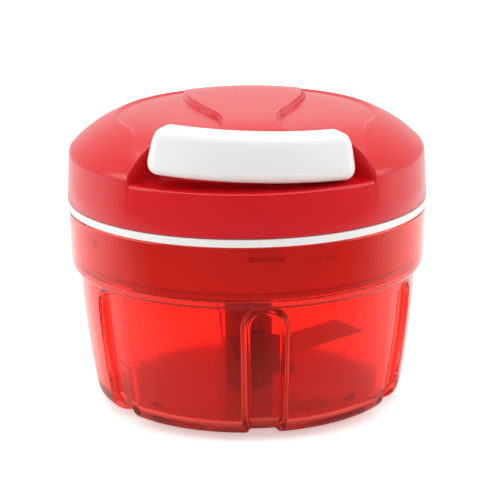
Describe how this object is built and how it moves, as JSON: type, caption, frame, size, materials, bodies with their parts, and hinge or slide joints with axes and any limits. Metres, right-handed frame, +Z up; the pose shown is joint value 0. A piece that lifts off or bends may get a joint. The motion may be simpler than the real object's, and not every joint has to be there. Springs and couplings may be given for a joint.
{
  "type": "manual food chopper",
  "caption": "Pull-cord food chopper with a clear red bowl, three-blade column, domed red lid on a white mechanism base and a white pull handle",
  "frame": {"origin": "middle of the bowl's foot, on the surface it stands on", "axes": "+Z up, the pull handle faces -Y, +X to the right seen from the handle's side"},
  "size_m": [0.13, 0.13, 0.1103],
  "materials": {
    "clear_red_plastic": "clear, polished",
    "red_plastic": "opaque, glossy",
    "dark_red_plastic": "opaque, glossy",
    "white_plastic": "satin moulded",
    "grey_acetal": "satin moulded",
    "silicone": "soft, matt",
    "blade_steel": "ground and polished",
    "spring_steel": "blued strip",
    "screw_steel": "zinc plated",
    "cord_nylon": "braided nylon"
  },
  "bodies": {
    "bowl_body": {"bowl": "clear_red_plastic", "centre_pin": "blade_steel"},
    "blade_body": {"blade_column": "dark_red_plastic", "blade_lower": "blade_steel", "blade_middle": "blade_steel", "blade_upper": "blade_steel"},
    "seal_body": {"seal_ring": "silicone"},
    "lid_body": {"mechanism_base": "white_plastic", "lid_cover": "red_plastic", "cord_eyelet": "white_plastic", "spindle_pin": "blade_steel", "screw_1": "screw_steel", "screw_2": "screw_steel", "screw_3": "screw_steel", "screw_4": "screw_steel", "cord_lead": "cord_nylon"},
    "reel_body": {"reel": "grey_acetal", "spring_cap": "grey_acetal", "recoil_spring": "spring_steel", "cord_winding": "cord_nylon"},
    "hub_body": {"drive_hub": "grey_acetal"},
    "pawl_1_body": {"pawl_1": "grey_acetal"},
    "pawl_2_body": {"pawl_2": "grey_acetal"},
    "handle_body": {"handle_shell": "white_plastic", "handle_cover": "white_plastic", "cord_knot": "cord_nylon", "cord_tail": "cord_nylon"}
  },
  "joints": [
    {"name": "lid_lift", "type": "slide", "parent": "bowl_body", "child": "seal_body", "axis": [0, 0, 1], "range_m": [0, 0.1]},
    {"name": "lid_twist", "type": "hinge", "parent": "seal_body", "child": "lid_body", "pos_m": [0, 0, 0.07], "axis": [0, 0, -1], "range_deg": [0, 20]},
    {"name": "handle_pull", "type": "slide", "parent": "lid_body", "child": "handle_body", "axis": [0, -1, 0], "range_m": [0, 0.28], "stiffness_N_per_m": 20, "springref_m": -0.25},
    {"name": "reel_spin", "type": "hinge", "parent": "lid_body", "child": "reel_body", "pos_m": [0, 0, 0.092], "axis": [0, 0, -1], "range_deg": [0, 851], "deforming": ["recoil_spring"]},
    {"name": "hub_spin", "type": "hinge", "parent": "lid_body", "child": "hub_body", "pos_m": [0, 0, 0.0817], "axis": [0, 0, -1], "range_deg": [0, 851]},
    {"name": "pawl_1_swing", "type": "hinge", "parent": "hub_body", "child": "pawl_1_body", "pos_m": [-0.00901, -0.00631, 0.0861], "axis": [0, 0, 1], "range_deg": [0, 8], "stiffness_Nm_per_rad": 0.0004, "springref_deg": -8.59},
    {"name": "pawl_2_swing", "type": "hinge", "parent": "hub_body", "child": "pawl_2_body", "pos_m": [0.00901, 0.00631, 0.0861], "axis": [0, 0, 1], "range_deg": [0, 8], "stiffness_Nm_per_rad": 0.0004, "springref_deg": -8.59},
    {"name": "blade_spin", "type": "hinge", "parent": "bowl_body", "child": "blade_body", "pos_m": [0, 0, 0.02], "axis": [0, 0, -1], "range_deg": [0, 851]}
  ],
  "couplings": [
    {"joint": "reel_spin", "follows": "handle_pull", "rad_per_m": 52.91},
    {"joint": "hub_spin", "follows": "handle_pull", "rad_per_m": 52.91},
    {"joint": "blade_spin", "follows": "handle_pull", "rad_per_m": 52.91}
  ]
}
